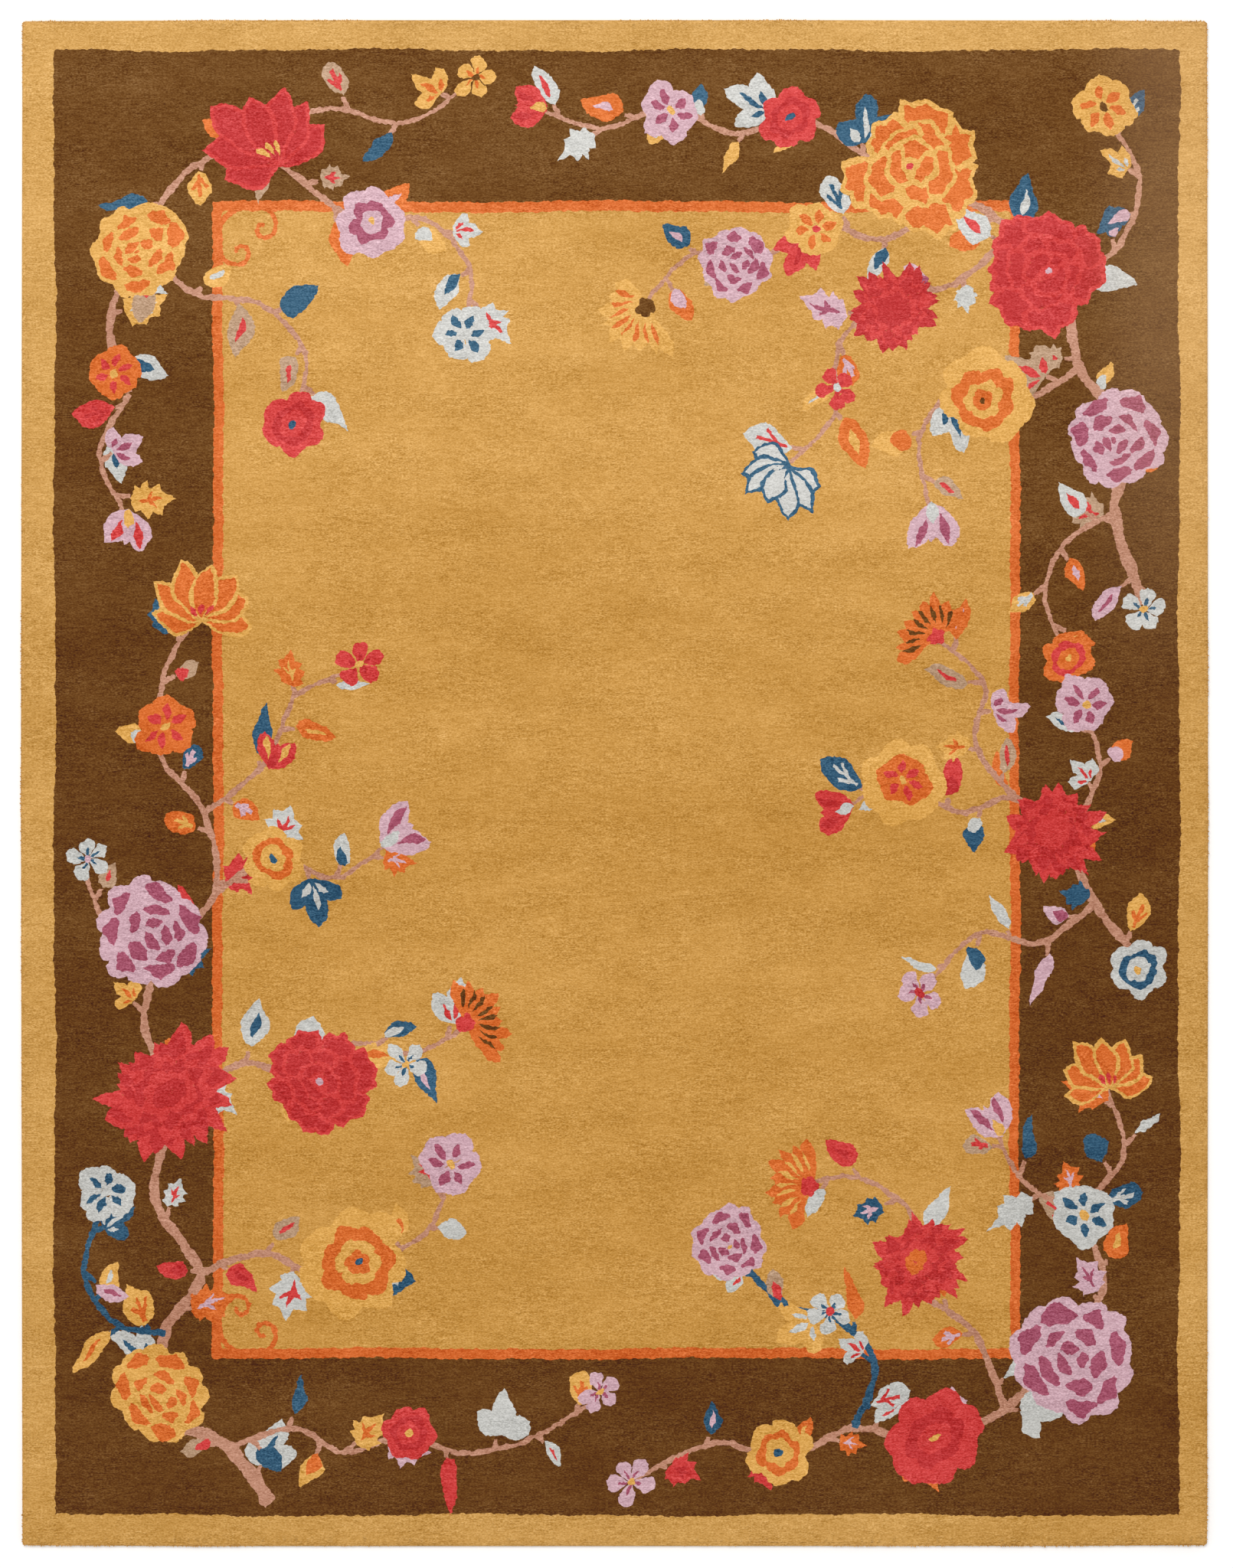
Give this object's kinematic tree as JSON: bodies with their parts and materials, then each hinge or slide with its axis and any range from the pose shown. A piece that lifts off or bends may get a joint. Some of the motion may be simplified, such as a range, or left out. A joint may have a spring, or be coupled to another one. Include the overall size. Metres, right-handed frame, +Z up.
{
  "type": "tufted rug",
  "caption": "Flat rectangular hand-tufted wool rug with a plain field, wide border and floral sprays in cut pile, for lying on a floor.",
  "frame": {"origin": "on the floor, under the middle of the rug", "axes": "+X across the rug's width, +Y along its length towards the top end of the pattern, +Z up out of the pile"},
  "size_m": [2.3754, 3.0543, 0.013],
  "materials": {
    "pile": "matt sheared cut wool pile, ochre field and edge, brown border, multicolour flowers"
  },
  "bodies": {
    "root": {"rug": "pile"}
  },
  "joints": []
}
